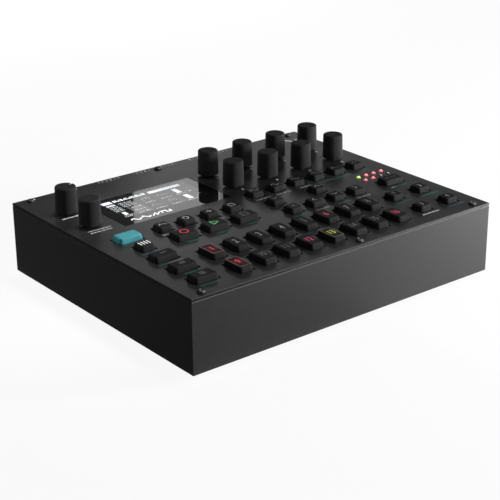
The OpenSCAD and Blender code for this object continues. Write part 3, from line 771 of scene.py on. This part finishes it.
# Metal in the rear sockets, in mm: x along the rear wall, and linings as inner and outer radius
# and near and far end.
rearSet = {
    "height": 19.6, "jacks": (-91.7, -74.0, -56.3, -38.6, -20.9), "data": (-1.0, 21.1, 43.2), "inlet": 76.9,
    "jackSleeve": (3.19, 3.35, -0.3, -9.0), "dataShield": (6.75, 7.05, -0.4, -8.0),
    "contact": (0.5, 0.8, -4.5, -5.0), "contactRadius": 3.9,
    "pinCap": [(0, -4.5), (0.7, -4.5), (1.06, -4.9), (1.06, -8.9), (0, -8.9)],    # radius and depth
}


def lining(x, z, inner, outer, near, far):
    profile = [(inner, near), (outer, near), (outer, far), (inner, far)]
    return spin(profile, 32, (x * mm, caseHigh.y, z * mm), "Y", True)


def rearMetal(look):
    z = look["height"]
    sleeves = [lining(x, z, *look["jackSleeve"]) for x in look["jacks"]]
    shields = [lining(x, z, *look["dataShield"]) for x in look["data"]]
    fan = arc(0, 0, look["contactRadius"], 0, 180, 4)
    contacts = [lining(x - dx, z + dz, *look["contact"]) for x in look["data"] for dx, dz in fan]
    cap = spin(look["pinCap"], 24, (look["inlet"] * mm, caseHigh.y, z * mm), "Y")
    pieceFrom(joined(sleeves), "jack_sleeves", "chassis", socketMetal)
    pieceFrom(joined(shields), "data_shields", "chassis", socketMetal)
    pieceFrom(joined(contacts), "data_contacts", "chassis", contactGold)
    pieceFrom(cap, "inlet_pin_cap", "chassis", socketMetal)


# On and off signs on the two sloping halves of the power switch.
switchSet = {
    "x": 92.0, "z": 19.6, "dip": 1.2, "slope": 0.1846, "out": 3.3,    # mm, and rise over run
    "stroke": 0.4, "sink": 0.02, "rise": 0.03,
    "signs": ((1, [(0, -1.3), (0, 1.3)], False), (-1, circle(1.2, 24), True)),
}


def switchMarks(look):
    halves = []
    middle = Vector((look["x"] * mm, caseHigh.y - look["dip"] * mm, look["z"] * mm))
    for side, path, closed in look["signs"]:
        along = Vector((side, look["slope"], 0)).normalized()
        out = Vector((-side * look["slope"], 1, 0)).normalized()
        sign = newSheet()
        addRibbon(sign, scaled(path), look["stroke"] * mm, -look["sink"] * mm, look["rise"] * mm, closed)
        start = middle + along * look["out"] * mm
        turn = Matrix((along * side, Vector((0, 0, 1)), out)).transposed()
        sign["points"] = [tuple(start + turn @ Vector(p)) for p in sign["points"]]
        halves.append(sign)
    pieceFrom(joined(halves), "switch_marks", "chassis", inkWhite)


rearMetal(rearSet)
switchMarks(switchSet)
print("rear sockets lined")


# White pointer at the rim of the volume knob, painted on its cap.
pointerSet = {
    "middle": 4.5, "half": 1.0, "width": 0.8, "depth": 0.5,    # mm
    "turn": 12, "colour": (0.85, 0.85, 0.85),                  # degrees
}


def pointerFinish(look):
    midX, midY, top = topMiddle("volume_knob")
    material = knobRubber.copy()
    material.name = "volumeRubber"
    tree = material.node_tree
    shader = tree.nodes["Principled BSDF"]
    turned = addNode(tree, "ShaderNodeVectorRotate", {"rotation_type": "Z_AXIS"}, Vector=objectPlace(tree),
                     Center=(midX, midY, 0), Angle=-math.radians(look["turn"]))
    x, y, z = axes(tree, turned.outputs[0])
    onMark = both(tree, within(tree, x, midX / mm + look["middle"], look["half"]),
                  within(tree, y, midY / mm, look["width"] / 2))
    onMark = both(tree, onMark, within(tree, z, top / mm, look["depth"]))
    plain = shader.inputs["Base Color"].links[0].from_socket
    tree.links.new(tint(tree, onMark, plain, look["colour"]), shader.inputs["Base Color"])
    return material


paint(nodes["volume_knob"], pointerFinish(pointerSet))
print("volume knob marked")


# Stage: floor, a dark flag round the back and left, dark cards on the floor, world and lamps, in metres.
stageSet = {
    "floorRadius": 9.0, "floorColour": (0.80, 0.80, 0.80), "floorRough": 0.9, "floorDrop": 0.0002,
    "cameraWhite": 0.92, "mirrorWhite": 0.15, "ambient": 0.25,
    "sideCard": (-0.75, -0.110, -0.40, 0.45), "frontCard": (-0.110, 0.02, -0.38, -0.094),
    "cardColour": (0.04, 0.04, 0.04), "cardLift": 0.0003,
    "flagColour": (0.14, 0.14, 0.14), "flagRadius": 1.25, "flagHeight": 2.4,
    "flagFrom": 15, "flagTo": 265,    # degrees from +X
}


def seenRays(tree, share, mirrorShare):
    path = addNode(tree, "ShaderNodeLightPath").outputs
    mirrored = both(tree, path["Is Glossy Ray"], path["Is Transmission Ray"], "MAXIMUM")
    straight = both(tree, path["Is Camera Ray"], share)
    return addNode(tree, "ShaderNodeMath", {"operation": "MULTIPLY_ADD"}, i0=mirrored, i1=mirrorShare,
                   i2=straight).outputs[0]


def matte(name, colour, rough=1.0):
    material = newTree(name)[0]
    shader = material.node_tree.nodes["Principled BSDF"]
    shader.inputs["Base Color"].default_value = (*colour, 1)
    shader.inputs["Roughness"].default_value = rough
    shader.inputs["Specular IOR Level"].default_value = 0.0
    return material


def stagePiece(name, points, faces, material):
    mesh = bpy.data.meshes.new(name)
    mesh.from_pydata(points, [], faces)
    piece = bpy.data.objects.new(name, mesh)
    scene.collection.objects.link(piece)
    paint(piece, material)
    return piece


def makeFloor(look):
    edge = circle(look["floorRadius"], 144)
    level = cadLow.z - look["floorDrop"]
    material = matte("studioFloor", look["floorColour"], look["floorRough"])
    tree = material.node_tree
    white = addNode(tree, "ShaderNodeEmission", None, Strength=1.0)
    seen = seenRays(tree, look["cameraWhite"], look["mirrorWhite"])
    lit = tree.nodes["Principled BSDF"].outputs[0]
    mix = addNode(tree, "ShaderNodeMixShader", None, i0=seen, i1=lit, i2=white.outputs[0])
    tree.links.new(mix.outputs[0], tree.nodes["Material Output"].inputs["Surface"])
    stagePiece("studioFloor", [(x, y, level) for x, y in edge], [list(range(len(edge)))], material)


def makeFlag(look):
    line = arc(0, 0, look["flagRadius"], look["flagFrom"], look["flagTo"], 40)
    count = len(line)
    points = [(x, y, z) for z in (0.0, look["flagHeight"]) for x, y in line]
    faces = [[i, i + 1, count + i + 1, count + i] for i in range(count - 1)]
    flag = stagePiece("darkFlag", points, faces, matte("darkFlag", look["flagColour"]))
    flag.visible_camera = False


def makeFloorCards(look):
    material = matte("darkFloorCard", look["cardColour"])
    level = cadLow.z + look["cardLift"]
    for name in ("sideCard", "frontCard"):
        card = stagePiece(name, [(x, y, level) for x, y in bar(*look[name])], [[0, 1, 2, 3]], material)
        card.visible_camera = False
        card.visible_shadow = False


def makeWorld(look):
    world = bpy.data.worlds.new("studioWorld")
    scene.world = world
    world.use_nodes = True
    tree = world.node_tree
    white = tree.nodes["Background"]
    white.inputs["Color"].default_value = (1, 1, 1, 1)
    strength = spread(tree, seenRays(tree, 1.0, 1.0), look["ambient"], 1.0, 0, 1)
    tree.links.new(strength, white.inputs["Strength"])


# A lamp with no aim of its own faces straight to the front. One that isn't mirrored leaves no reflection.
studioLamps = {
    "backCard": {"at": (0.372, 0.60, 0.295), "size": (0.116, 0.080), "power": 0.052},
    "backGlow": {"at": (0.76, 0.64, 0.335), "size": (0.52, 0.13), "power": 0.084},
    "leftGlow": {"at": (0.26, 0.60, 0.378), "size": (0.28, 0.065), "power": 0.011},
    "backEdge": {"at": (0.520, 0.61, 0.305), "size": (0.18, 0.075), "power": 0.040},
    "kneeLamp": {"at": (0.62, -0.44, 0.17), "to": (0.0, 0.0, 0.046), "size": (0.15, 0.15), "power": 10.6,
                 "mirrored": False},
    "sparkLamp": {"at": (0.62, -0.44, 0.17), "to": (0.0, 0.0, 0.046), "size": (0.05, 0.05), "power": 1.6},
    "keyCard": {"at": (0.76, -0.50, 0.95), "to": (0.0, 0.0, 0.04), "size": (0.55, 0.55), "power": 4.2},
    "cornerLamp": {"at": (0.22, -0.20, 0.018), "to": (0.12, -0.088, 0.02), "size": (0.10, 0.03),
                   "power": 0.45, "mirrored": False},
    "leftLamp": {"at": (-0.40, 0.22, 0.035), "to": (-0.1075, 0.04, 0.025), "size": (0.20, 0.04),
                 "power": 0.44, "mirrored": False},
    "poolLamp": {"at": (-0.02, 0.05, 0.45), "to": (-0.10, 0.02, 0.046), "size": (0.08, 0.08),
                 "power": 0.050, "mirrored": False, "spread": 25},
    "rearCard": {"at": (0.2, 0.9, 0.12), "to": (0, 0.088, 0.03), "size": (0.8, 0.15), "power": 6.0,
                 "mirrored": False},
}


def addLamp(name, look):
    data = bpy.data.lights.new(name, "AREA")
    data.shape = "RECTANGLE"
    data.size, data.size_y = look["size"]
    data.energy = look["power"]
    data.spread = math.radians(look.get("spread", 180))
    lamp = bpy.data.objects.new(name, data)
    scene.collection.objects.link(lamp)
    at = Vector(look["at"])
    aim = Vector(look.get("to", (at.x, 0.0, at.z))) - at
    lamp.location = at
    lamp.rotation_mode = "QUATERNION"
    lamp.rotation_quaternion = aim.to_track_quat("-Z", "Y")
    lamp.visible_camera = False
    lamp.visible_glossy = look.get("mirrored", True)


makeFloor(stageSet)
makeFlag(stageSet)
makeFloorCards(stageSet)
makeWorld(stageSet)
for name, look in studioLamps.items():
    addLamp(name, look)
print("stage lit")
